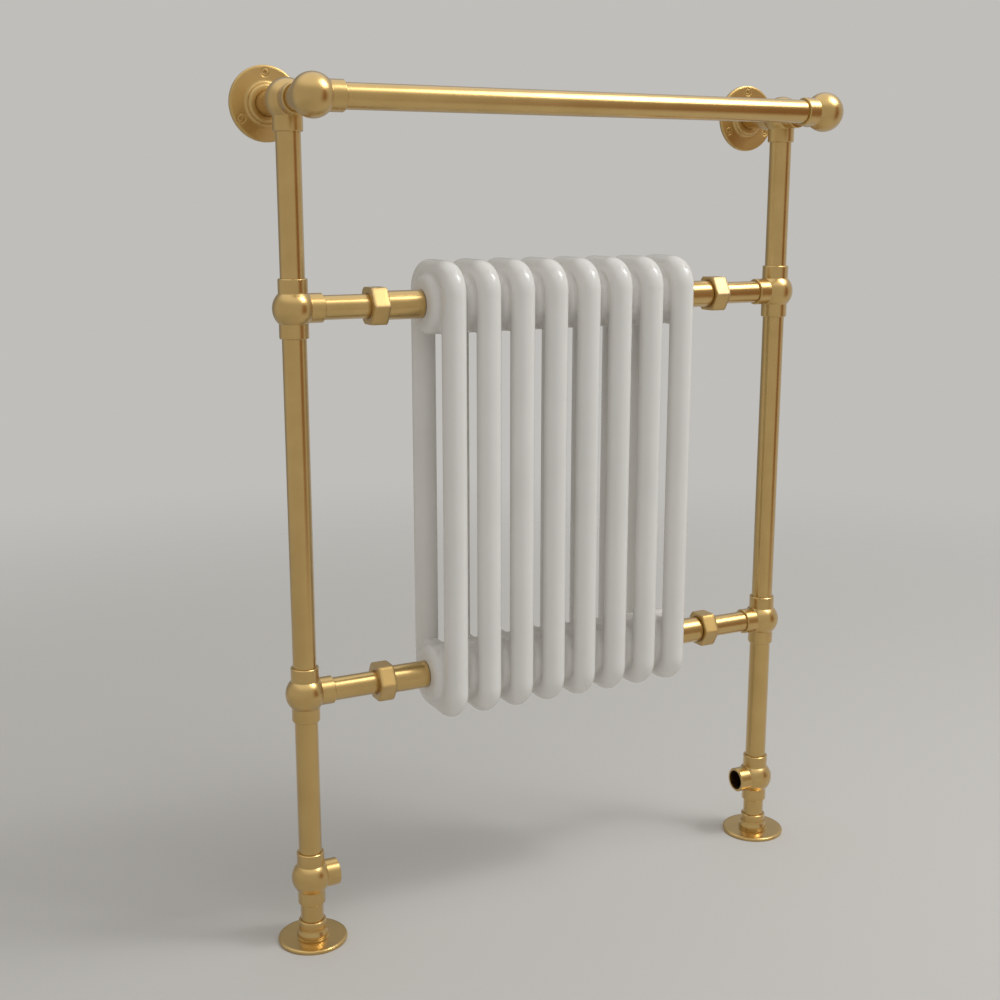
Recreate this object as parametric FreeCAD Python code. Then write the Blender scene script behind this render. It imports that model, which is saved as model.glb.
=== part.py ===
import FreeCAD, Part
import math
import os
from FreeCAD import Vector

# Column towel radiator, in millimetres.
# X runs along the wall, Y points to the wall, Z is up, and the floor is at Z 0.

# Heights, each measured from the fitting below it, and depths from the plane of the posts
valve_height = 74.0
lower_pipe_rise = 211.5
pipe_centres = 407.5
rail_rise = 202.0
rail_offset = 75.0
wall_distance = 70.0

# Tube, the same stock everywhere
tube_d = 25.0
tube_wall = 1.5

# Ball fittings: a ball with collared sockets that the tubes are soldered into
ball_d = 42.6
socket_wall = 2.5
socket_stop = 3.5
socket_depth = 14.0
socket_chamfer = 0.8
solder_gap = 0.05

# Inlet ports: three-quarter inch pipe thread, bored at its core diameter
inlet_bore_d = 24.12
inlet_wall = 2.9
inlet_depth = 16.0

# Flanges
flange_d = 76.0
flange_thickness = 4.0
flange_edge_radius = 1.6
flange_web = 2.0
foot_collar_height = 24.0
foot_bead_swell = 2.2
foot_bead_radius = 3.0
foot_bead_height = 10.0
wall_hub_height = 5.5
wall_hub_land = 4.0
screw_land = 15.0
screw_count = 3
screw_hole_d = 4.5
screw_head_d = 8.4

# Radiator: two-column sections side by side
section_count = 8
section_pitch = 40.2
column_d = 26.0
column_spacing = 78.7
section_wall = 2.5
hub_overlap = 5.65
hub_edge_radius = 9.0
hub_blend_radius = 3.0
rim_clearance = 0.6
rim_bend_inset = 11.0
web_thickness = 18.0
web_edge_radius = 6.0
web_edge_inset = 1.0
web_blend_radius = 6.0
gasket_thickness = 0.8
nipple_wall = 3.2
nipple_length = 22.0
thread_gap = 0.05

# Unions between pipe and radiator
tail_length = 41.7
tail_edge_radius = 1.2
tail_seat = 0.6
tail_spigot_length = 11.0
tail_wall = 4.0
union_thread_length = 9.5
union_thread_gap = 0.4
union_mouth_gap = 0.5
union_shoulder_step = 1.5
union_shoulder_thickness = 3.3
union_shoulder_gap = 1.0
union_washer_thickness = 2.0
union_end_play = 0.2
nut_bore_gap = 0.3
nut_web = 3.5
nut_wall = 4.0
nut_chamfer = 1.6
nut_chamfer_angle = 30.0
pipe_exposed = 49.4

# Air vent on the outer side of the right top ball
vent_seat_depth = 1.2
vent_thread_d = 9.7
vent_thread_length = 7.0
vent_hex = 12.0
vent_hex_height = 4.0
vent_nose_d = 9.6
vent_nose_height = 4.0
bleed_screw_d = 4.8
bleed_screw_gap = 0.05
bleed_square = 5.0
bleed_square_height = 4.0
bleed_head_gap = 0.3

# Worked out from the sizes above
lower_pipe_height = valve_height + lower_pipe_rise
upper_pipe_height = lower_pipe_height + pipe_centres
rail_height = upper_pipe_height + rail_rise
tube_r = tube_d / 2
bore_r = tube_r - tube_wall
ball_r = ball_d / 2
socket_r = tube_r + socket_wall
socket_seat = tube_r + socket_stop
socket_reach = socket_seat + socket_depth
socket_bore_r = tube_r + solder_gap
inlet_r = inlet_bore_d / 2
flange_r = flange_d / 2
column_r = column_d / 2
column_y = column_spacing / 2
hub_r = column_y - column_r + hub_overlap
hub_face_r = hub_r - hub_edge_radius
head_line = hub_r + rim_clearance
bend_r = hub_r - rim_bend_inset
head_drop = hub_r - web_edge_inset
head_foot = web_edge_radius - head_drop
web_half = web_thickness / 2
blend_in = math.sqrt((column_r + web_blend_radius) ** 2 - (web_half + web_blend_radius) ** 2)
web_inset = (blend_in + bend_r) / 2
hub_length = section_pitch - gasket_thickness
radiator_end = ((section_count - 1) * section_pitch + hub_length) / 2
shoulder_r = tube_r + union_shoulder_step
nut_cavity_r = shoulder_r + union_shoulder_gap
nut_flat_r = nut_cavity_r + nut_wall
tail_r = nut_cavity_r
tail_thread_r = tail_r - union_thread_gap
nipple_r = tail_r - tail_edge_radius - tail_seat
tail_bore_r = nipple_r - tail_wall
tail_neck = radiator_end + tail_length
tail_tip = tail_neck + union_thread_length
pipe_tip = tail_tip + union_washer_thickness
nut_mouth = tail_neck + union_mouth_gap
nut_back = pipe_tip + union_shoulder_thickness + union_end_play + nut_web
post_x = nut_back + pipe_exposed + socket_reach
post_y = (rail_offset + ball_r - wall_distance) / 2

ORIGIN = Vector(0, 0, 0)
RIGHT = Vector(1, 0, 0)
FRONT = Vector(0, -1, 0)
BACK = Vector(0, 1, 0)
UP = Vector(0, 0, 1)
DOWN = Vector(0, 0, -1)
FULL_TURN = 360
QUARTER_TURN = 90
HEX_SIDES = 6

nodes = {}


def aimed(shape, direction, position=ORIGIN):
    """Turn a shape made along Z to a direction, and put its base at a position."""
    shape.Placement = FreeCAD.Placement(position, FreeCAD.Rotation(UP, direction))
    return shape


def line(start, end):
    return Part.LineSegment(Vector(start[0], 0, start[1]), Vector(end[0], 0, end[1])).toShape()


def ogee(start, end, along):
    """Two arcs in an S between two points of radius and height, with both ends running along one way."""
    start, end = [Vector(radius, 0, height) for radius, height in (start, end)]
    step = end - start
    across = step - along * step.dot(along)
    bend = across * (step.Length ** 2 / (4 * across.Length ** 2))
    middle = (start + end) * 0.5
    arcs = []
    for point, centre in ((start, start + bend), (end, end - bend)):
        bulge = ((point + middle) * 0.5 - centre).normalize() * bend.Length
        arcs.append(Part.Arc(point, centre + bulge, middle).toShape())
    return arcs


def quarter_round(start, end, centre):
    """Quarter circle between two points about a centre, each given as radius and height."""
    start, end, centre = [Vector(radius, 0, height) for radius, height in (start, end, centre)]
    middle = centre + (start + end - centre * 2) * math.sqrt(0.5)
    return Part.Arc(start, middle, end).toShape()


def turned_edges(edges):
    """Solid of revolution about Z of a closed outline of edges."""
    outline = Part.Wire(Part.__sortEdges__(edges))
    return Part.Face(outline).revolve(ORIGIN, UP, FULL_TURN)


def turned(points):
    """Solid of revolution about Z of a closed outline of radius and height points."""
    closed = points + points[:1]
    return turned_edges([line(a, b) for a, b in zip(closed, closed[1:])])


def tube(start, direction, length):
    outside = Part.makeCylinder(tube_r, length, start, direction)
    return outside.cut(Part.makeCylinder(bore_r, length, start, direction))


def hexagon(flats, length, start):
    """Hexagon bar along X with two corners to front and back."""
    corner = flats / math.sqrt(3)
    points = []
    for step in range(HEX_SIDES):
        angle = math.radians(step * FULL_TURN / HEX_SIDES)
        points.append(start + Vector(0, corner * math.cos(angle), corner * math.sin(angle)))
    outline = Part.makePolygon(points + points[:1])
    return Part.Face(outline).extrude(RIGHT * length)


# Ball fittings

def collar(radius):
    side = [(0, 0), (radius, 0), (radius, socket_reach - socket_chamfer)]
    rim = [(radius - socket_chamfer, socket_reach), (0, socket_reach)]
    return turned(side + rim)


def wet_socket():
    """Socket for a tube, with a waterway to the middle of the ball."""
    waterway = [(0, 0), (bore_r, 0), (bore_r, socket_seat)]
    mouth = [(socket_bore_r, socket_seat), (socket_bore_r, socket_reach), (0, socket_reach)]
    return turned(waterway + mouth)


def dry_socket():
    """Blind socket for a tube that carries no water."""
    seat = [(0, socket_seat), (socket_bore_r, socket_seat)]
    mouth = [(socket_bore_r, socket_reach), (0, socket_reach)]
    return turned(seat + mouth)


def inlet_port():
    """Threaded port for a valve, with a waterway to the middle of the ball."""
    seat = socket_reach - inlet_depth
    waterway = [(0, 0), (bore_r, 0), (bore_r, seat)]
    mouth = [(inlet_r, seat), (inlet_r, socket_reach), (0, socket_reach)]
    return turned(waterway + mouth)


def ball_fitting(centre, arms):
    """Ball with one collar per arm, each arm a direction, a collar radius and the hole in it."""
    body = Part.makeSphere(ball_r)
    for direction, radius, hole in arms:
        body = body.fuse(aimed(collar(radius), direction))
    for direction, radius, hole in arms:
        body = body.cut(aimed(hole(), direction))
    body.translate(centre)
    return body


# Flanges

def floor_flange(x):
    """Disc with a beaded collar that the foot tube stands in."""
    top_edge = flange_thickness - flange_edge_radius
    face_r = flange_r - flange_edge_radius
    bead_r = socket_r + foot_bead_swell
    bead_foot_r = bead_r - foot_bead_radius
    bead_middle = flange_thickness + foot_bead_radius
    bead_top = flange_thickness + foot_bead_height
    rim = foot_collar_height - socket_chamfer
    edges = [
        line((0, 0), (flange_r, 0)),
        line((flange_r, 0), (flange_r, top_edge)),
        quarter_round((flange_r, top_edge), (face_r, flange_thickness), (face_r, top_edge)),
        line((face_r, flange_thickness), (bead_foot_r, flange_thickness)),
        quarter_round((bead_foot_r, flange_thickness), (bead_r, bead_middle), (bead_foot_r, bead_middle)),
        line((socket_r, bead_top), (socket_r, rim)),
        line((socket_r, rim), (socket_r - socket_chamfer, foot_collar_height)),
        line((socket_r - socket_chamfer, foot_collar_height), (socket_bore_r, foot_collar_height)),
        line((socket_bore_r, foot_collar_height), (socket_bore_r, flange_web)),
        line((socket_bore_r, flange_web), (0, flange_web)),
        line((0, flange_web), (0, 0)),
    ]
    flange = turned_edges(edges + ogee((bead_r, bead_middle), (socket_r, bead_top), UP))
    flange.translate(Vector(x, post_y, 0))
    return flange


def screw_hole():
    """Countersunk hole along Z, open at both faces of the disc."""
    hole_r = screw_hole_d / 2
    head_r = screw_head_d / 2
    sink = flange_thickness - (head_r - hole_r)
    return turned([(0, 0), (hole_r, 0), (hole_r, sink), (head_r, flange_thickness), (0, flange_thickness)])


def wall_flange(x):
    """Disc with a domed hub round the wall stub, and countersunk screw holes with one at the top."""
    top_edge = flange_thickness - flange_edge_radius
    face_r = flange_r - flange_edge_radius
    dome_r = flange_r - screw_land
    dome_top = flange_thickness + wall_hub_height
    land_r = socket_bore_r + wall_hub_land
    edges = [
        line((0, 0), (flange_r, 0)),
        line((flange_r, 0), (flange_r, top_edge)),
        quarter_round((flange_r, top_edge), (face_r, flange_thickness), (face_r, top_edge)),
        line((face_r, flange_thickness), (dome_r, flange_thickness)),
        line((land_r, dome_top), (socket_bore_r, dome_top)),
        line((socket_bore_r, dome_top), (socket_bore_r, flange_web)),
        line((socket_bore_r, flange_web), (0, flange_web)),
        line((0, flange_web), (0, 0)),
    ]
    flange = turned_edges(edges + ogee((dome_r, flange_thickness), (land_r, dome_top), RIGHT))
    for step in range(screw_count):
        angle = math.radians(QUARTER_TURN + step * FULL_TURN / screw_count)
        hole = screw_hole()
        hole.translate(Vector(math.cos(angle), math.sin(angle), 0) * (flange_r - screw_land / 2))
        flange = flange.cut(hole)
    flange.rotate(ORIGIN, RIGHT, QUARTER_TURN)
    flange.translate(Vector(x, post_y + wall_distance, rail_height))
    return flange


# Radiator section

def rim_outline():
    """Cross-section of a head's rim: the round bar of the columns, blended into the web along Y."""
    share = column_r / (column_r + web_blend_radius)
    edges = []
    bar_ends = []
    for side in (-1, 1):
        centre = Vector(side * (web_half + web_blend_radius), blend_in, 0)
        on_bar = centre * share
        on_web = Vector(side * web_half, blend_in, 0)
        middle = centre + (on_bar + on_web - centre * 2).normalize() * web_blend_radius
        edges.append(Part.Arc(on_bar, middle, on_web).toShape())
        edges.append(Part.makeLine(on_web, Vector(side * web_half, web_inset, 0)))
        bar_ends.append(on_bar)
    edges.append(Part.Arc(bar_ends[0], Vector(0, -column_r, 0), bar_ends[1]).toShape())
    edges.append(Part.makeLine(Vector(-web_half, web_inset, 0), Vector(web_half, web_inset, 0)))
    return Part.Face(Part.Wire(Part.__sortEdges__(edges)))


def swept_rim(outline):
    """Rim of a head: up the front column, round the bend and across, with the same mirrored behind."""
    shoulder = head_line - bend_r
    bend_middle = Vector(0, bend_r - column_y, shoulder)
    outline.translate(Vector(0, -column_y, head_foot))
    run = outline.extrude(UP * (shoulder - head_foot))
    outline.translate(UP * (shoulder - head_foot))
    bend = outline.revolve(bend_middle, -RIGHT, QUARTER_TURN)
    outline.rotate(bend_middle, -RIGHT, QUARTER_TURN)
    across = outline.extrude(BACK * (column_y - bend_r))
    half = run.multiFuse([bend, across])
    return half.fuse(half.mirror(ORIGIN, BACK))


def head_web(thickness, inset, foot):
    """Flat web of a head, its outline kept inside the middle of the rim by an inset."""
    top = head_line - inset
    side_y = column_y - inset
    corner_r = bend_r - inset
    slant = corner_r * (1 - math.sqrt(0.5))
    x = -thickness / 2
    edges = [Part.makeLine(Vector(x, -side_y, foot), Vector(x, side_y, foot))]
    for side in (-1, 1):
        start = Vector(x, side * side_y, top - corner_r)
        middle = Vector(x, side * (side_y - slant), top - slant)
        end = Vector(x, side * (side_y - corner_r), top)
        edges.append(Part.makeLine(Vector(x, side * side_y, foot), start))
        edges.append(Part.Arc(start, middle, end).toShape())
    edges.append(Part.makeLine(Vector(x, corner_r - side_y, top), Vector(x, side_y - corner_r, top)))
    return Part.Face(Part.Wire(Part.__sortEdges__(edges))).extrude(RIGHT * thickness)


def web_edge():
    """Rounded inner edge of the web, from column to column."""
    flat = web_half - web_edge_radius
    edges = [
        quarter_round((-web_half, head_foot), (-flat, -head_drop), (-flat, head_foot)),
        line((-flat, -head_drop), (flat, -head_drop)),
        quarter_round((flat, -head_drop), (web_half, head_foot), (flat, head_foot)),
        line((web_half, head_foot), (-web_half, head_foot)),
    ]
    outline = Part.Face(Part.Wire(Part.__sortEdges__(edges)))
    outline.translate(FRONT * column_y)
    return outline.extrude(BACK * column_spacing)


def hub():
    """Barrel with rounded ends across the head, its seam turned down to the web's edge."""
    barrel = Part.makeCylinder(hub_r, hub_length, RIGHT * (-hub_length / 2), RIGHT)
    rims = [edge for edge in barrel.Edges if len(edge.Vertexes) == 1]
    rounded = barrel.makeFillet(hub_edge_radius, rims)
    rounded.rotate(ORIGIN, RIGHT, FULL_TURN / 2)
    return rounded


def on_hub(face):
    """Whether a face of a head belongs to the barrel of its hub."""
    surface = face.Surface
    if isinstance(surface, Part.Toroid):
        return math.isclose(surface.MajorRadius, hub_face_r)
    if isinstance(surface, Part.Cylinder):
        return math.isclose(surface.Radius, hub_r)
    return math.isclose(abs(face.CenterOfMass.x), hub_length / 2)


def blended(head):
    """Head with the foot of its hub blended into the rim, the columns and the web."""
    creases = []
    for edge in head.Edges:
        sides = [on_hub(face) for face in head.ancestorsOfType(edge, Part.Face)]
        if any(sides) and not all(sides):
            creases.append(edge)
    return head.makeFillet(hub_blend_radius, creases)


def column_pair(head, radius):
    """One upright loop: a head, its mirror image below, and two round columns between them."""
    upper = head.copy()
    upper.translate(UP * upper_pipe_height)
    lower = head.mirror(ORIGIN, UP)
    lower.translate(UP * lower_pipe_height)
    start = lower_pipe_height - head_foot
    length = upper_pipe_height + head_foot - start
    columns = [Part.makeCylinder(radius, length, Vector(0, y, start), UP) for y in (-column_y, column_y)]
    return upper.multiFuse([lower] + columns)


def radiator_section():
    """One hollow section, centred on X 0: two columns between two heads with pipe hubs."""
    web = head_web(web_thickness, web_inset, head_foot)
    head = blended(swept_rim(rim_outline()).multiFuse([web, web_edge(), hub()]).removeSplitter())
    water_r = column_r - section_wall
    round_way = swept_rim(Part.Face(Part.Wire(Part.makeCircle(water_r))))
    flat_way = head_web(web_thickness - 2 * section_wall, 0, section_wall - head_drop)
    bore = Part.makeCylinder(nipple_r + thread_gap, hub_length, RIGHT * (-hub_length / 2), RIGHT)
    waterway = round_way.multiFuse([flat_way, bore])
    body = column_pair(head, column_r).cut(column_pair(waterway, water_r)).removeSplitter()
    body.translate(BACK * post_y)
    return body


def ring(outer_r, inner_r, length, middle):
    """Flat ring or short sleeve along X, centred on a point."""
    start = middle - RIGHT * (length / 2)
    outside = Part.makeCylinder(outer_r, length, start, RIGHT)
    return outside.cut(Part.makeCylinder(inner_r, length, start, RIGHT))


# Unions

def union_tail():
    """Thick sleeve along Z, screwed into the end hub, with a thread for the nut at its far end."""
    start = radiator_end - tail_spigot_length
    edge = radiator_end + tail_edge_radius
    seat_r = nipple_r + tail_seat
    edges = [
        line((tail_bore_r, start), (nipple_r, start)),
        line((nipple_r, start), (nipple_r, radiator_end)),
        line((nipple_r, radiator_end), (seat_r, radiator_end)),
        quarter_round((seat_r, radiator_end), (tail_r, edge), (seat_r, edge)),
        line((tail_r, edge), (tail_r, tail_neck)),
        line((tail_r, tail_neck), (tail_thread_r, tail_neck)),
        line((tail_thread_r, tail_neck), (tail_thread_r, tail_tip)),
        line((tail_thread_r, tail_tip), (tail_bore_r, tail_tip)),
        line((tail_bore_r, tail_tip), (tail_bore_r, start)),
    ]
    return turned_edges(edges)


def connecting_pipe():
    """Tube along Z from the union to the ball tee, with the shoulder that the nut pulls on."""
    far = post_x - socket_seat
    shoulder = pipe_tip + union_shoulder_thickness
    flare = [(bore_r, pipe_tip), (shoulder_r, pipe_tip), (shoulder_r, shoulder)]
    pipe = [(tube_r, shoulder), (tube_r, far), (bore_r, far)]
    return turned(flare + pipe)


def union_nut(outward, height):
    """Hexagon nut round the pipe, with its open mouth over the tail's thread."""
    length = nut_back - nut_mouth
    corner_r = nut_flat_r * 2 / math.sqrt(3)
    low_r = corner_r - nut_chamfer
    rise = nut_chamfer * math.tan(math.radians(nut_chamfer_angle))
    blank = [(0, 0), (low_r, 0), (corner_r, rise)]
    blank += [(corner_r, length - rise), (low_r, length), (0, length)]
    cavity = length - nut_web
    hole_r = tube_r + nut_bore_gap
    inside = [(0, 0), (nut_cavity_r, 0), (nut_cavity_r, cavity)]
    inside += [(hole_r, cavity), (hole_r, length), (0, length)]
    bar = hexagon(2 * nut_flat_r, length, ORIGIN)
    nut = aimed(turned(blank), RIGHT).common(bar).cut(aimed(turned(inside), RIGHT))
    nut.translate(Vector(nut_mouth, 0, 0))
    if outward < 0:
        nut.rotate(ORIGIN, UP, FULL_TURN / 2)
    nut.translate(Vector(0, post_y, height))
    return nut


# Air vent

def vent_seat():
    """Flat and tapped hole that the vent needs in the ball, along Z from the ball's middle."""
    seat = ball_r - vent_seat_depth
    top = ball_r + vent_seat_depth
    hole_r = vent_thread_d / 2 + thread_gap
    return turned([(0, 0), (hole_r, 0), (hole_r, seat), (ball_r, seat), (ball_r, top), (0, top)])


def air_vent(centre):
    """Hexagon vent body along X with a round nose, bored for the bleed screw."""
    seat = ball_r - vent_seat_depth
    body = hexagon(vent_hex, vent_hex_height, RIGHT * seat)
    thread_start = RIGHT * (seat - vent_thread_length)
    body = body.fuse(Part.makeCylinder(vent_thread_d / 2, vent_thread_length, thread_start, RIGHT))
    nose_start = RIGHT * (seat + vent_hex_height)
    body = body.fuse(Part.makeCylinder(vent_nose_d / 2, vent_nose_height, nose_start, RIGHT))
    bore_length = vent_thread_length + vent_hex_height + vent_nose_height
    bore = Part.makeCylinder(bleed_screw_d / 2 + bleed_screw_gap, bore_length, thread_start, RIGHT)
    body = body.cut(bore)
    body.translate(centre)
    return body


def bleed_screw(centre):
    """Screw along X with a square end for the bleed key."""
    face = ball_r - vent_seat_depth + vent_hex_height + vent_nose_height + bleed_head_gap
    length = vent_nose_height + vent_hex_height + vent_thread_length
    shank = Part.makeCylinder(bleed_screw_d / 2, length, RIGHT * (face - length), RIGHT)
    corner = Vector(face, -bleed_square / 2, -bleed_square / 2)
    screw = shank.fuse(Part.makeBox(bleed_square_height, bleed_square, bleed_square, corner))
    screw.translate(centre)
    return screw


# Posts with their feet, fittings and wall fixings

for side, outward in (("left", -1), ("right", 1)):
    x = outward * post_x
    inward = RIGHT * -outward
    valve = Vector(x, post_y, valve_height)
    lower = Vector(x, post_y, lower_pipe_height)
    upper = Vector(x, post_y, upper_pipe_height)
    top = Vector(x, post_y, rail_height)
    rail_end = top + FRONT * rail_offset

    nodes["floor_flange_" + side] = floor_flange(x)
    foot_length = valve_height - socket_seat - flange_web
    nodes["foot_tube_" + side] = tube(Vector(x, post_y, flange_web), UP, foot_length)
    port_r = inlet_r + inlet_wall
    valve_arms = [(UP, socket_r, wet_socket), (DOWN, socket_r, dry_socket), (inward, port_r, inlet_port)]
    nodes["valve_tee_" + side] = ball_fitting(valve, valve_arms)

    tee_arms = [(direction, socket_r, wet_socket) for direction in (UP, DOWN, inward)]
    nodes["lower_tee_" + side] = ball_fitting(lower, tee_arms)
    nodes["upper_tee_" + side] = ball_fitting(upper, tee_arms)
    top_arms = [(DOWN, socket_r, wet_socket), (FRONT, socket_r, wet_socket), (BACK, socket_r, dry_socket)]
    nodes["top_tee_" + side] = ball_fitting(top, top_arms)

    runs = [("lower_post_", valve, lower), ("middle_post_", lower, upper), ("upper_post_", upper, top)]
    for name, below, above in runs:
        run_length = (above - below).Length - 2 * socket_seat
        nodes[name + side] = tube(below + UP * socket_seat, UP, run_length)

    nodes["wall_flange_" + side] = wall_flange(x)
    stub_length = wall_distance - flange_web - socket_seat
    nodes["wall_stub_" + side] = tube(top + BACK * socket_seat, BACK, stub_length)
    bracket_length = rail_offset - 2 * socket_seat
    nodes["rail_bracket_" + side] = tube(top + FRONT * socket_seat, FRONT, bracket_length)
    rail_arms = [(direction, socket_r, wet_socket) for direction in (BACK, inward)]
    nodes["rail_ball_" + side] = ball_fitting(rail_end, rail_arms)

# Towel rail between the two end balls

rail_start = Vector(socket_seat - post_x, post_y - rail_offset, rail_height)
nodes["towel_rail"] = tube(rail_start, RIGHT, 2 * (post_x - socket_seat))

# Air vent, let into the right top ball

vent_ball = Vector(post_x, post_y, rail_height)
nodes["top_tee_right"] = nodes["top_tee_right"].cut(aimed(vent_seat(), RIGHT, vent_ball))
nodes["air_vent"] = air_vent(vent_ball)
nodes["bleed_screw"] = bleed_screw(vent_ball)

# Radiator sections, with the nipples and gaskets between them

section = radiator_section()
first_x = -section_pitch * (section_count - 1) / 2
for index in range(section_count):
    copy = section.copy()
    copy.translate(Vector(first_x + index * section_pitch, 0, 0))
    nodes["radiator_section_" + str(index + 1)] = copy

joint_x = [first_x + (index + 0.5) * section_pitch for index in range(section_count - 1)]
gaskets = []
for level, height in (("upper", upper_pipe_height), ("lower", lower_pipe_height)):
    middles = [Vector(x, post_y, height) for x in joint_x]
    sleeves = [ring(nipple_r, nipple_r - nipple_wall, nipple_length, middle) for middle in middles]
    nodes[level + "_nipples"] = Part.makeCompound(sleeves)
    gaskets += [ring(hub_face_r, nipple_r + thread_gap, gasket_thickness, middle) for middle in middles]
nodes["section_gaskets"] = Part.makeCompound(gaskets)

# Pipes and unions between the posts and the radiator

washers = []
for level, height in (("upper", upper_pipe_height), ("lower", lower_pipe_height)):
    for side, outward in (("left", -1), ("right", 1)):
        corner = "_" + level + "_" + side
        axis_point = Vector(0, post_y, height)
        nodes["union_tail" + corner] = aimed(union_tail(), RIGHT * outward, axis_point)
        nodes["connecting_pipe" + corner] = aimed(connecting_pipe(), RIGHT * outward, axis_point)
        nodes["union_nut" + corner] = union_nut(outward, height)
        washer_middle = axis_point + RIGHT * (outward * (tail_tip + union_washer_thickness / 2))
        washers.append(ring(shoulder_r, tail_bore_r, union_washer_thickness, washer_middle))
nodes["union_washers"] = Part.makeCompound(washers)

# One file per piece

os.makedirs("parts", exist_ok=True)
for name, shape in nodes.items():
    shape.exportStep("parts/" + name + ".step")
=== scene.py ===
import math
import bpy
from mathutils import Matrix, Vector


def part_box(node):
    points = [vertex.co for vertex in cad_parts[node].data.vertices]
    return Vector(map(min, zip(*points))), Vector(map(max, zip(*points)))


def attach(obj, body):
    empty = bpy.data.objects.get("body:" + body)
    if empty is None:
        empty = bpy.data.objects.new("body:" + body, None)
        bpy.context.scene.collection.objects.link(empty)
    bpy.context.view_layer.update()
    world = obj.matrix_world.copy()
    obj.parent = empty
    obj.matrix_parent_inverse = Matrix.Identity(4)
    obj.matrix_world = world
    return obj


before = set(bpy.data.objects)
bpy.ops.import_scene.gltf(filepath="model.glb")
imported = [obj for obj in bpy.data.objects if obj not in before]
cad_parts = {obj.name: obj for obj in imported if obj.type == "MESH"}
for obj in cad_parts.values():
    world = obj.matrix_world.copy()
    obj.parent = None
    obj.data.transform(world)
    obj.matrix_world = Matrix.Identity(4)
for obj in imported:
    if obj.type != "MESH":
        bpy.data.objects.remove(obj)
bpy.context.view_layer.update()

# Floor flanges. Each is a disc with a beaded collar, turned on the lathe from a brass casting,
# so its grain runs in rings round the tube. It stands on the floor under the foot tube.

sides = ("left", "right")


def colour(code):
    """Linear colour of an sRGB hex code."""
    shares = [int(code[at:at + 2], 16) / 255 for at in (1, 3, 5)]
    return [s / 12.92 if s <= 0.04045 else ((s + 0.055) / 1.055) ** 2.4 for s in shares] + [1]


def add_node(tree, kind, values=None, links=None, stops=(), **settings):
    """Add one shader node with its settings, its socket values, its links and, where it is a
    colour ramp, the places and colours of its stops.
    """
    node = tree.nodes.new(kind)
    for name, value in settings.items():
        setattr(node, name, value)
    for name, value in (values or {}).items():
        node.inputs[name].default_value = value
    for name, socket in (links or {}).items():
        tree.links.new(socket, node.inputs[name])
    for number, (position, code) in enumerate(stops):
        stop = node.color_ramp.elements[number]
        stop.position = position
        stop.color = colour(code)
    return node


def new_material(name):
    """A material with an empty node tree."""
    material = bpy.data.materials.new(name)
    material.use_nodes = True
    material.node_tree.nodes.clear()
    return material


def finish_brass(tree, place, lines, seam_mm, satin=0.25, soft_mm=0.6):
    """Lacquered brass over a grain of fine lines: a warm yellow metal with wide, soft highlights.

    Its tone shifts a little from place to place, and painted shade darkens its colour in seams and
    bores over the width seam_mm. Edges and creases look worn round over the width soft_mm. satin is
    the roughness, which the lines change a little.
    """
    patch_mm = 30
    grain_mm = 0.2
    grain_blur = 0.008
    patches = add_node(tree, "ShaderNodeTexNoise", {"Scale": 1000 / patch_mm, "Detail": 2},
                       {"Vector": place.outputs["Object"]})
    tone = add_node(tree, "ShaderNodeValToRGB", links={"Fac": patches.outputs["Fac"]},
                    stops=((0.3, "#CAA866"), (0.7, "#D2B06E")))
    # Painted shade: ambient occlusion darkens the base colour in seams and bores within seam_mm.
    open_sky = add_node(tree, "ShaderNodeAmbientOcclusion", {"Distance": seam_mm / 1000}, samples=6)
    painted_shade = add_node(tree, "ShaderNodeValToRGB", links={"Fac": open_sky.outputs["AO"]},
                       stops=((0.1, "#5A4226"), (0.55, "#FFFFFF")))
    tone_with_painted_shade = add_node(tree, "ShaderNodeMix", {"Factor": 1.0},
                    {"A": tone.outputs["Color"], "B": painted_shade.outputs["Color"]},
                    data_type="RGBA", blend_type="MULTIPLY")
    blur = add_node(tree, "ShaderNodeMapRange", {"To Min": satin, "To Max": satin + grain_blur},
                    {"Value": lines})
    edges = add_node(tree, "ShaderNodeBevel", {"Radius": soft_mm / 1000}, samples=8)
    relief = add_node(tree, "ShaderNodeBump", {"Strength": 0.02, "Distance": grain_mm / 1000},
                      {"Height": lines, "Normal": edges.outputs["Normal"]})
    surface = add_node(tree, "ShaderNodeBsdfPrincipled",
                       {"Metallic": 1.0, "Coat Weight": 0.8, "Coat Roughness": 0.2},
                       {"Base Color": tone_with_painted_shade.outputs["Result"], "Roughness": blur.outputs["Result"],
                        "Normal": relief.outputs["Normal"]})
    add_node(tree, "ShaderNodeOutputMaterial", links={"Surface": surface.outputs["BSDF"]})


def turned_brass(name, centre, axis, satin=0.25):
    """Brass with the fine rings of the lathe about an axis. Real rings are about 0.2 mm apart, too
    fine to show, so they are drawn 2 mm apart. A ring pattern of scale 1 repeats every pi / 10.
    """
    ring_mm = 2
    seam_mm = 0.8
    soft_mm = 4
    material = new_material(name)
    tree = material.node_tree
    place = add_node(tree, "ShaderNodeTexCoord")
    from_centre = add_node(tree, "ShaderNodeMapping", {"Location": [-c for c in centre]},
                           {"Vector": place.outputs["Object"]})
    rings = add_node(tree, "ShaderNodeTexWave",
                     {"Scale": math.pi / 10 / (ring_mm / 1000), "Distortion": 1.5, "Detail": 1},
                     {"Vector": from_centre.outputs["Vector"]},
                     wave_type="RINGS", rings_direction=axis)
    finish_brass(tree, place, rings.outputs["Fac"], seam_mm, satin, soft_mm)
    return material


def middle(node):
    """The middle of a CAD node's box."""
    return [(low + high) / 2 for low, high in zip(*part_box(node))]


def dress(names, material):
    """Give CAD nodes a material in all their slots."""
    for name in names:
        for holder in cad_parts[name].material_slots:
            holder.material = material


for side in sides:
    flange = "floor_flange_" + side
    dress([flange], turned_brass("turned_brass_" + flange, middle(flange), "Z"))

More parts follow.
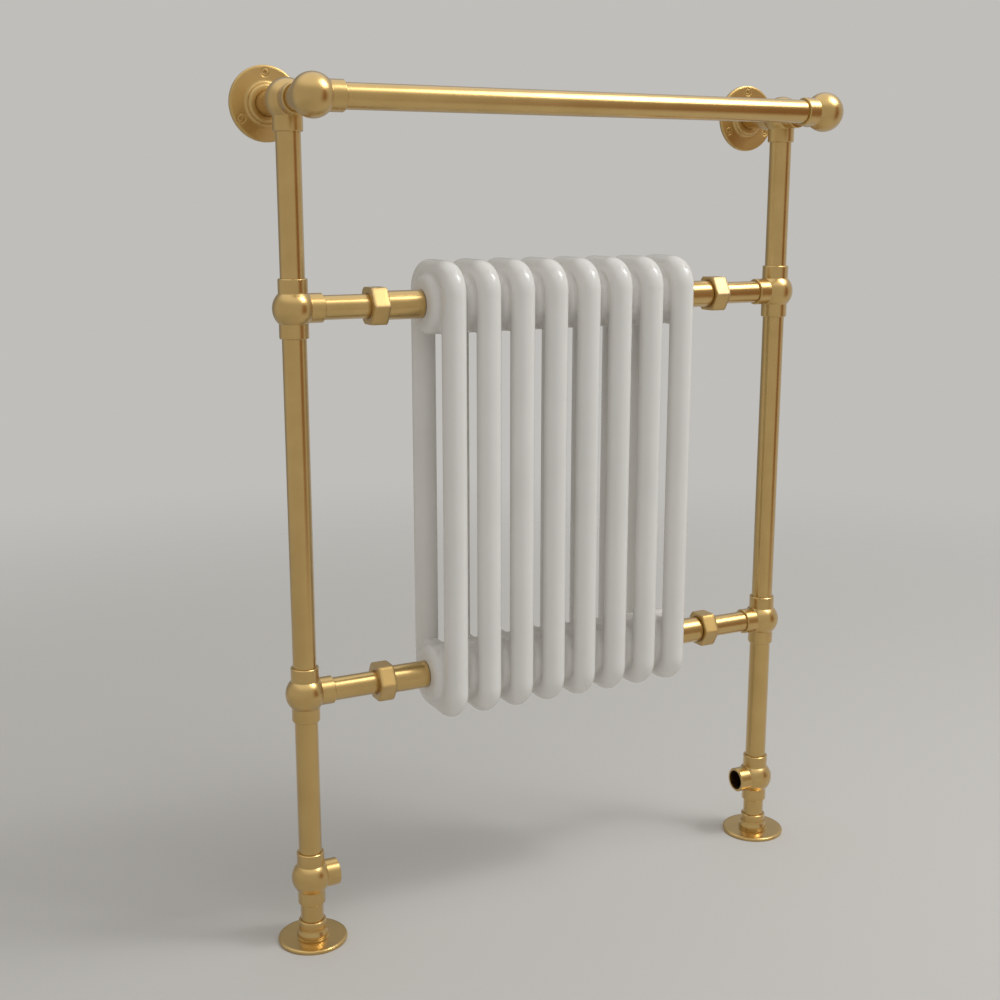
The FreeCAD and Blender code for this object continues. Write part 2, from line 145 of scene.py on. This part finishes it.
# Foot tubes and posts. They are drawn brass tube, brushed round on a belt and lacquered, and each
# is soldered into the sockets of the fittings at its ends.


def brushed_brass(name, lines_mm, seam_mm=4, satin=0.25, soft_mm=0.6):
    """Brass with brush lines of these sizes in mm along X, Y and Z. Real lines are about 0.1 mm
    wide, too fine to show, so they are drawn ten times as wide.
    """
    material = new_material(name)
    tree = material.node_tree
    place = add_node(tree, "ShaderNodeTexCoord")
    along = add_node(tree, "ShaderNodeMapping", {"Scale": [1000 / size for size in lines_mm]},
                     {"Vector": place.outputs["Object"]})
    lines = add_node(tree, "ShaderNodeTexNoise", {"Scale": 1, "Detail": 3, "Roughness": 0.6},
                     {"Vector": along.outputs["Vector"]})
    finish_brass(tree, place, lines.outputs["Fac"], seam_mm, satin, soft_mm)
    return material


upright_brass = brushed_brass("brushed_brass_upright_tube", (16, 16, 1))
for tube in ("foot_tube_", "lower_post_", "middle_post_", "upper_post_"):
    dress([tube + side for side in sides], upright_brass)

# Ball fittings. They are brass castings, a ball with turned collars, blasted and brushed all over,
# so their grain runs no one way. The lowest pair has a port for a valve, dark inside from painted
# shade that reaches deep into the bore.

cast_grain_mm = (2.5, 2.5, 2.5)
cast_satin = 0.28
# How far painted shade reaches into the valve ports, darkening them inside.
port_shade_mm = 14
cast_brass = brushed_brass("satin_cast_brass", cast_grain_mm, satin=cast_satin)
for ball in ("lower_tee_", "upper_tee_", "top_tee_"):
    dress([ball + side for side in sides], cast_brass)
ported_brass = brushed_brass("satin_cast_brass_ported", cast_grain_mm, port_shade_mm, cast_satin)
dress(["valve_tee_" + side for side in sides], ported_brass)

# Inlet threads. Each valve port has a three-quarter inch parallel pipe thread cut inside it,
# 14 turns to the inch, left dull and dark from the cutting.

thread_pitch = 0.0254 / 14
thread_turns = 7
thread_depth = 0.0007
thread_steps = 48
ridge_root = 0.0004
ridge_width = 0.0015
ridge_height = thread_depth + ridge_root
crest_share = 0.3
port_radius = 0.01206
lead_in = 0.0016
port_length = 0.016
merge_distance = 0.00001
ridge_crease = math.radians(30)


def pick_points(piece, wanted):
    """Leave edit mode open with only the wanted points selected."""
    bpy.ops.object.mode_set(mode="EDIT")
    bpy.ops.mesh.select_mode(type="VERT")
    bpy.ops.mesh.select_all(action="DESELECT")
    bpy.ops.object.mode_set(mode="OBJECT")
    for point in piece.data.vertices:
        point.select = wanted(point.co)
    bpy.ops.object.mode_set(mode="EDIT")


def apply_modifiers(piece):
    """Apply all modifiers of the active piece, in their order."""
    for modifier in list(piece.modifiers):
        bpy.ops.object.modifier_apply(modifier=modifier.name)


def copy_of(model, name):
    """A copy with a mesh and a name of its own, selected alone."""
    bpy.ops.object.select_all(action="DESELECT")
    model.select_set(True)
    bpy.ops.object.duplicate()
    piece = bpy.context.selected_objects[0]
    piece.name = name
    return piece


bpy.ops.object.select_all(action="DESELECT")
bpy.ops.mesh.primitive_plane_add(size=ridge_width)
thread = bpy.context.object
pick_points(thread, lambda point: True)
bpy.ops.transform.resize(value=(1, ridge_height / ridge_width, 1))
bpy.ops.transform.translate(value=(0, port_radius + ridge_root - ridge_height / 2, 0))
pick_points(thread, lambda point: point.y < port_radius)
bpy.ops.transform.resize(value=(crest_share, 1, 1))
bpy.ops.mesh.select_all(action="SELECT")
bpy.ops.mesh.delete(type="ONLY_FACE")
bpy.ops.object.mode_set(mode="OBJECT")
sweep = thread.modifiers.new("sweep", "SCREW")
sweep.axis = "X"
sweep.screw_offset = thread_pitch
sweep.iterations = thread_turns
sweep.steps = thread_steps
sweep.render_steps = thread_steps
apply_modifiers(thread)
bpy.ops.object.mode_set(mode="EDIT")
bpy.ops.mesh.select_all(action="SELECT")
bpy.ops.mesh.remove_doubles(threshold=merge_distance)
bpy.ops.mesh.fill_holes(sides=4)
bpy.ops.mesh.select_all(action="SELECT")
bpy.ops.mesh.normals_make_consistent(inside=False)
bpy.ops.object.mode_set(mode="OBJECT")
bpy.ops.object.shade_smooth_by_angle(angle=ridge_crease)

stain_mm = 3
dull_thread = new_material("cut_brass_thread")
tree = dull_thread.node_tree
place = add_node(tree, "ShaderNodeTexCoord")
stain = add_node(tree, "ShaderNodeTexNoise", {"Scale": 1000 / stain_mm, "Detail": 3},
                 {"Vector": place.outputs["Object"]})
tone = add_node(tree, "ShaderNodeValToRGB", links={"Fac": stain.outputs["Fac"]},
                stops=((0.35, "#1C140B"), (0.7, "#4A3618")))
blur = add_node(tree, "ShaderNodeMapRange", {"To Min": 0.4, "To Max": 0.6},
                {"Value": stain.outputs["Fac"]})
surface = add_node(tree, "ShaderNodeBsdfPrincipled", {"Metallic": 1.0},
                   {"Base Color": tone.outputs["Color"], "Roughness": blur.outputs["Result"]})
add_node(tree, "ShaderNodeOutputMaterial", links={"Surface": surface.outputs["BSDF"]})
thread.data.materials.append(dull_thread)

for side in sides:
    low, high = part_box("valve_tee_" + side)
    centre = middle("valve_tee_" + side)
    port_start = low[0] if side == "right" else high[0] - port_length
    port_thread = copy_of(thread, "inlet_thread_" + side)
    port_thread.location = (port_start + lead_in, centre[1], centre[2])
    bpy.ops.object.transform_apply(location=True, rotation=True, scale=True)
    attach(port_thread, "radiator")
bpy.data.objects.remove(thread)

# Wall stubs and wall flanges. A short brushed tube runs back from each top ball into a turned brass
# disc with a domed hub, which three countersunk holes fix to the wall.

wall_flange_satin = 0.4
forward_brass = brushed_brass("brushed_brass_forward_tube", (16, 1, 16))
dress(["wall_stub_" + side for side in sides], forward_brass)
for side in sides:
    flange = "wall_flange_" + side
    disc_brass = turned_brass("turned_brass_" + flange, middle(flange), "Y", wall_flange_satin)
    dress([flange], disc_brass)

# Wall screws. They are brass countersunk screws with a cross recess, three in each wall flange,
# driven flush and stopped at no one angle. Only what is inside the flange is made.

head_radius = 0.0041
head_sides = 40
shank_radius = 0.0021
shank_share = shank_radius / head_radius
head_height = head_radius - shank_radius
shank_length = 0.0018
recess_width = 0.0008
recess_reach = 0.0014
recess_depth = 0.0014
recess_taper = 0.6
edge_width = 0.00012
screw_crease = math.radians(35)
plate_thickness = 0.004
screw_circle = 0.0305
screw_inset = 0.00012
hole_angles = (90, 210, 330)
first_stop, stop_step = 23, 31


def pick_faces(piece, wanted):
    """Leave edit mode open with only the faces selected whose normal is wanted."""
    bpy.ops.object.mode_set(mode="EDIT")
    bpy.ops.mesh.select_mode(type="FACE")
    bpy.ops.mesh.select_all(action="DESELECT")
    bpy.ops.object.mode_set(mode="OBJECT")
    for face in piece.data.polygons:
        face.select = wanted(face.normal)
    bpy.ops.object.mode_set(mode="EDIT")


bpy.ops.object.select_all(action="DESELECT")
bpy.ops.mesh.primitive_cube_add(size=recess_width)
recess = bpy.context.object
for way in ((1, 0, 0), (-1, 0, 0), (0, 1, 0), (0, -1, 0)):
    pick_faces(recess, lambda normal: sum(a * b for a, b in zip(normal, way)) > 0.9)
    reach = [recess_reach * step for step in way]
    bpy.ops.mesh.extrude_region_move(TRANSFORM_OT_translate={"value": reach})
pick_points(recess, lambda point: True)
bpy.ops.transform.resize(value=(1, 1, 2 * recess_depth / recess_width))
pick_points(recess, lambda point: point.z < 0)
bpy.ops.transform.resize(value=(recess_taper, recess_taper, 1))
bpy.ops.object.mode_set(mode="OBJECT")

bpy.ops.object.select_all(action="DESELECT")
bpy.ops.mesh.primitive_cylinder_add(vertices=head_sides, radius=head_radius, depth=head_height,
                                    location=(0, 0, -head_height / 2))
screw = bpy.context.object
bpy.ops.object.transform_apply(location=True)
pick_faces(screw, lambda normal: normal.z < -0.9)
bpy.ops.transform.resize(value=(shank_share, shank_share, 1))
bpy.ops.mesh.extrude_region_move(TRANSFORM_OT_translate={"value": (0, 0, -shank_length)})
bpy.ops.object.mode_set(mode="OBJECT")
cut = screw.modifiers.new("recess", "BOOLEAN")
cut.object = recess
cut.operation = "DIFFERENCE"
soft = screw.modifiers.new("soft_edges", "BEVEL")
soft.width = edge_width
soft.segments = 2
soft.limit_method = "ANGLE"
apply_modifiers(screw)
bpy.ops.object.shade_smooth_by_angle(angle=screw_crease)
bpy.data.objects.remove(recess)
screw.data.materials.append(brushed_brass("turned_brass_screw", (1, 1, 1), seam_mm=1, satin=0.4))

for side in sides:
    flange = "wall_flange_" + side
    centre = middle(flange)
    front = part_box(flange)[1][1] - plate_thickness
    for number, hole_angle in enumerate(hole_angles):
        at = math.radians(hole_angle)
        wall_screw = copy_of(screw, "wall_screw_%s_%d" % (side, number + 1))
        wall_screw.rotation_euler = (math.pi / 2, math.radians(first_stop + stop_step * number), 0)
        wall_screw.location = (centre[0] + screw_circle * math.cos(at), front + screw_inset,
                               centre[2] + screw_circle * math.sin(at))
        bpy.ops.object.transform_apply(location=True, rotation=True, scale=True)
        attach(wall_screw, "radiator")
bpy.data.objects.remove(screw)

# Towel rail. A brushed brass tube, held in front of the posts by two short tubes with a cast ball
# at each end. All are soldered, and the rail is warmed by the water inside.

dress(["rail_bracket_" + side for side in sides], forward_brass)
dress(["rail_ball_" + side for side in sides], cast_brass)
crosswise_brass = brushed_brass("brushed_brass_cross_tube", (1, 16, 16), seam_mm=1.5)
dress(["towel_rail"], crosswise_brass)

# Radiator sections. Each is two steel columns welded between two hollow heads, dipped and stoved
# in white enamel: glossy, with soft creases where the enamel ran and a faint orange peel.

section_count = 8
peel_mm = 5
cloud_mm = 70
crease_radius = 0.004
peel_depth = 0.0003
enamel = new_material("stoved_white_enamel")
tree = enamel.node_tree
place = add_node(tree, "ShaderNodeTexCoord")
peel = add_node(tree, "ShaderNodeTexNoise", {"Scale": 1000 / peel_mm, "Detail": 1},
                {"Vector": place.outputs["Object"]})
cloud = add_node(tree, "ShaderNodeTexNoise", {"Scale": 1000 / cloud_mm, "Detail": 2},
                 {"Vector": place.outputs["Object"]})
tone = add_node(tree, "ShaderNodeValToRGB", links={"Fac": cloud.outputs["Fac"]},
                stops=((0.3, "#E4E2DE"), (0.7, "#E8E6E2")))
shine = add_node(tree, "ShaderNodeMapRange", {"To Min": 0.07, "To Max": 0.1},
                 {"Value": cloud.outputs["Fac"]})
flow = add_node(tree, "ShaderNodeBevel", {"Radius": crease_radius}, samples=12)
relief = add_node(tree, "ShaderNodeBump", {"Strength": 0.04, "Distance": peel_depth},
                  {"Height": peel.outputs["Fac"], "Normal": flow.outputs["Normal"]})
surface = add_node(tree, "ShaderNodeBsdfPrincipled", {"IOR": 1.5},
                   {"Base Color": tone.outputs["Color"], "Roughness": shine.outputs["Result"],
                    "Normal": relief.outputs["Normal"]})
add_node(tree, "ShaderNodeOutputMaterial", links={"Surface": surface.outputs["BSDF"]})
dress(["radiator_section_%d" % (number + 1) for number in range(section_count)], enamel)

# Nipples and gaskets. Nipples of plain grey steel, turned and threaded, draw the sections together
# inside their hubs, over thin gaskets of graphite and fibre. Only the gaskets' edges show, as a
# dark line between two hubs.

tool_mark_mm = (1, 12, 12)
plain_steel = new_material("turned_steel")
tree = plain_steel.node_tree
place = add_node(tree, "ShaderNodeTexCoord")
along = add_node(tree, "ShaderNodeMapping", {"Scale": [1000 / size for size in tool_mark_mm]},
                 {"Vector": place.outputs["Object"]})
lines = add_node(tree, "ShaderNodeTexNoise", {"Scale": 1, "Detail": 2},
                 {"Vector": along.outputs["Vector"]})
tone = add_node(tree, "ShaderNodeValToRGB", links={"Fac": lines.outputs["Fac"]},
                stops=((0, "#8E8F90"), (1, "#B4B5B6")))
blur = add_node(tree, "ShaderNodeMapRange", {"To Min": 0.3, "To Max": 0.45},
                {"Value": lines.outputs["Fac"]})
surface = add_node(tree, "ShaderNodeBsdfPrincipled", {"Metallic": 1.0},
                   {"Base Color": tone.outputs["Color"], "Roughness": blur.outputs["Result"]})
add_node(tree, "ShaderNodeOutputMaterial", links={"Surface": surface.outputs["BSDF"]})
dress(["upper_nipples", "lower_nipples"], plain_steel)

fleck_mm = 1.5
fleck_depth = 0.0002
fibre = new_material("graphite_fibre_sheet")
tree = fibre.node_tree
place = add_node(tree, "ShaderNodeTexCoord")
flecks = add_node(tree, "ShaderNodeTexNoise", {"Scale": 1000 / fleck_mm, "Detail": 4},
                  {"Vector": place.outputs["Object"]})
tone = add_node(tree, "ShaderNodeValToRGB", links={"Fac": flecks.outputs["Fac"]},
                stops=((0, "#3A3936"), (1, "#5C5A55")))
relief = add_node(tree, "ShaderNodeBump", {"Strength": 0.2, "Distance": fleck_depth},
                  {"Height": flecks.outputs["Fac"]})
surface = add_node(tree, "ShaderNodeBsdfPrincipled", {"Roughness": 0.8},
                   {"Base Color": tone.outputs["Color"], "Normal": relief.outputs["Normal"]})
add_node(tree, "ShaderNodeOutputMaterial", links={"Surface": surface.outputs["BSDF"]})
dress(["section_gaskets"], fibre)

# Pipes and unions. A brushed tube runs in from each tee and is drawn to a thick turned tail on the
# radiator by a hexagon nut, over a fibre washer. The nuts are milled, then brushed until their
# edges are soft.

corners = [level + "_" + side for level in ("upper", "lower") for side in sides]
dress(["connecting_pipe_" + corner for corner in corners], crosswise_brass)
dress(["union_tail_" + corner for corner in corners], crosswise_brass)
nut_brass = brushed_brass("brushed_brass_nut", (1, 10, 10), seam_mm=1.5, satin=0.42, soft_mm=5)
dress(["union_nut_" + corner for corner in corners], nut_brass)
dress(["union_washers"], fibre)

# Air vent. A small turned brass plug with hexagon and nose on the outer side of the right top ball,
# and in it the bleed screw, whose square end takes a key.

dress(["air_vent", "bleed_screw"], brushed_brass("turned_brass_vent", (1, 8, 8), seam_mm=2))

# Studio. A pale floor that fades into a pale surround, a key lamp inside a soft panel high on the
# right, and weak light from everywhere else. Metal also reflects a bright ceiling overhead, the
# shade of a wall behind the radiator and a warm dark corner of the room in front.

floor_size = 12
fade_start, fade_end = 0.7, 2.6
surround_code = "#C0BEBA"
ceiling_start, ceiling_end = 0.45, 0.85
wall_start, wall_end = 0.5, 0.95
room_way = (0.70, -0.71, -0.06)
room_start, room_end = 0.95, 0.985
room_flatness = (1, 1, 0.35)

bpy.ops.object.select_all(action="DESELECT")
bpy.ops.mesh.primitive_plane_add(size=floor_size)
floor = bpy.context.object
floor.name = "floor"
floor_paint = new_material("matt_floor_paint")
tree = floor_paint.node_tree
place = add_node(tree, "ShaderNodeTexCoord")
distance = add_node(tree, "ShaderNodeVectorMath", links={0: place.outputs["Object"]},
                    operation="LENGTH")
fade = add_node(tree, "ShaderNodeMapRange", {"From Min": fade_start, "From Max": fade_end},
                {"Value": distance.outputs["Value"]}, interpolation_type="SMOOTHSTEP")
paint = add_node(tree, "ShaderNodeBsdfPrincipled",
                 {"Base Color": colour("#CECCC8"), "Roughness": 0.8})
clear = add_node(tree, "ShaderNodeBsdfTransparent")
blend = add_node(tree, "ShaderNodeMixShader", links={
    0: fade.outputs["Result"], 1: paint.outputs["BSDF"], 2: clear.outputs["BSDF"]})
add_node(tree, "ShaderNodeOutputMaterial", links={"Surface": blend.outputs["Shader"]})
floor.data.materials.append(floor_paint)

world = bpy.data.worlds.new("surround")
bpy.context.scene.world = world
world.use_nodes = True
tree = world.node_tree
tree.nodes.clear()
rays = add_node(tree, "ShaderNodeLightPath")
seen = add_node(tree, "ShaderNodeMath", links={
    0: rays.outputs["Is Camera Ray"], 1: rays.outputs["Is Transmission Ray"]}, operation="ADD")
glow = add_node(tree, "ShaderNodeBackground", {"Color": colour("#C6C5C2"), "Strength": 0.84})
backdrop = add_node(tree, "ShaderNodeBackground", {"Color": colour(surround_code), "Strength": 1.0})
lit = add_node(tree, "ShaderNodeMixShader", links={
    0: seen.outputs["Value"], 1: glow.outputs["Background"], 2: backdrop.outputs["Background"]})

way = add_node(tree, "ShaderNodeTexCoord")
steps = add_node(tree, "ShaderNodeSeparateXYZ", links={"Vector": way.outputs["Generated"]})
overhead = add_node(tree, "ShaderNodeMapRange",
                    {"From Min": ceiling_start, "From Max": ceiling_end},
                    {"Value": steps.outputs["Z"]}, interpolation_type="SMOOTHSTEP")
behind = add_node(tree, "ShaderNodeMapRange", {"From Min": wall_start, "From Max": wall_end},
                  {"Value": steps.outputs["Y"]}, interpolation_type="SMOOTHSTEP")
low_ways = add_node(tree, "ShaderNodeMapping", {"Scale": room_flatness},
                    {"Vector": way.outputs["Generated"]})
unit_way = add_node(tree, "ShaderNodeVectorMath", links={0: low_ways.outputs["Vector"]},
                    operation="NORMALIZE")
towards_room = add_node(tree, "ShaderNodeVectorMath", {1: room_way},
                        {0: unit_way.outputs["Vector"]}, operation="DOT_PRODUCT")
in_room = add_node(tree, "ShaderNodeMapRange", {"From Min": room_start, "From Max": room_end},
                   {"Value": towards_room.outputs["Value"]}, interpolation_type="SMOOTHSTEP")
ceiling = add_node(tree, "ShaderNodeMix",
                   {"A": colour(surround_code), "B": colour("#FFFFFF")},
                   {"Factor": overhead.outputs["Result"]}, data_type="RGBA")
wall = add_node(tree, "ShaderNodeMix", {"B": colour("#8E8C84")},
                {"Factor": behind.outputs["Result"], "A": ceiling.outputs["Result"]},
                data_type="RGBA")
room = add_node(tree, "ShaderNodeMix", {"B": colour("#8C6240")},
                {"Factor": in_room.outputs["Result"], "A": wall.outputs["Result"]},
                data_type="RGBA")
in_metal = add_node(tree, "ShaderNodeBackground", {"Strength": 1.0},
                    {"Color": room.outputs["Result"]})
blend = add_node(tree, "ShaderNodeMixShader", links={
    0: rays.outputs["Is Glossy Ray"], 1: lit.outputs["Shader"], 2: in_metal.outputs["Background"]})
add_node(tree, "ShaderNodeOutputWorld", links={"Surface": blend.outputs["Shader"]})


def lamp(name, place, size, watts):
    """A square area lamp that points at the middle of the radiator."""
    aim = (0, 0, 0.5)
    data = bpy.data.lights.new(name, "AREA")
    data.size = size
    data.energy = watts
    holder = bpy.data.objects.new(name, data)
    bpy.context.scene.collection.objects.link(holder)
    holder.location = place
    x, y, z = [to - start for to, start in zip(aim, place)]
    holder.rotation_euler = (math.atan2(math.hypot(x, y), -z), 0, math.atan2(y, x) - math.pi / 2)
    return holder


lamp("key_lamp", (1.25, -0.85, 2.4), size=0.4, watts=9)
lamp("soft_panel", (1.45, -0.95, 2.7), size=1.5, watts=25)
fill_lamp = lamp("fill_lamp", (-0.7, -2.2, 2.2), size=2.5, watts=7)
fill_lamp.visible_glossy = False

# Camera. It stands where the photograph was taken from, to the front left and a little below the
# rail, with the lens that gives the photograph's perspective.

camera_data = bpy.data.cameras.new("camera")
camera_data.lens = 50
camera_data.sensor_width = 36
camera = bpy.data.objects.new("camera", camera_data)
bpy.context.scene.collection.objects.link(camera)
camera.location = (-0.74964, -1.33133, 0.80213)
camera.rotation_euler = (math.radians(77.71), 0, math.radians(-26.90))
bpy.context.scene.camera = camera
bpy.context.scene.view_settings.view_transform = "Standard"
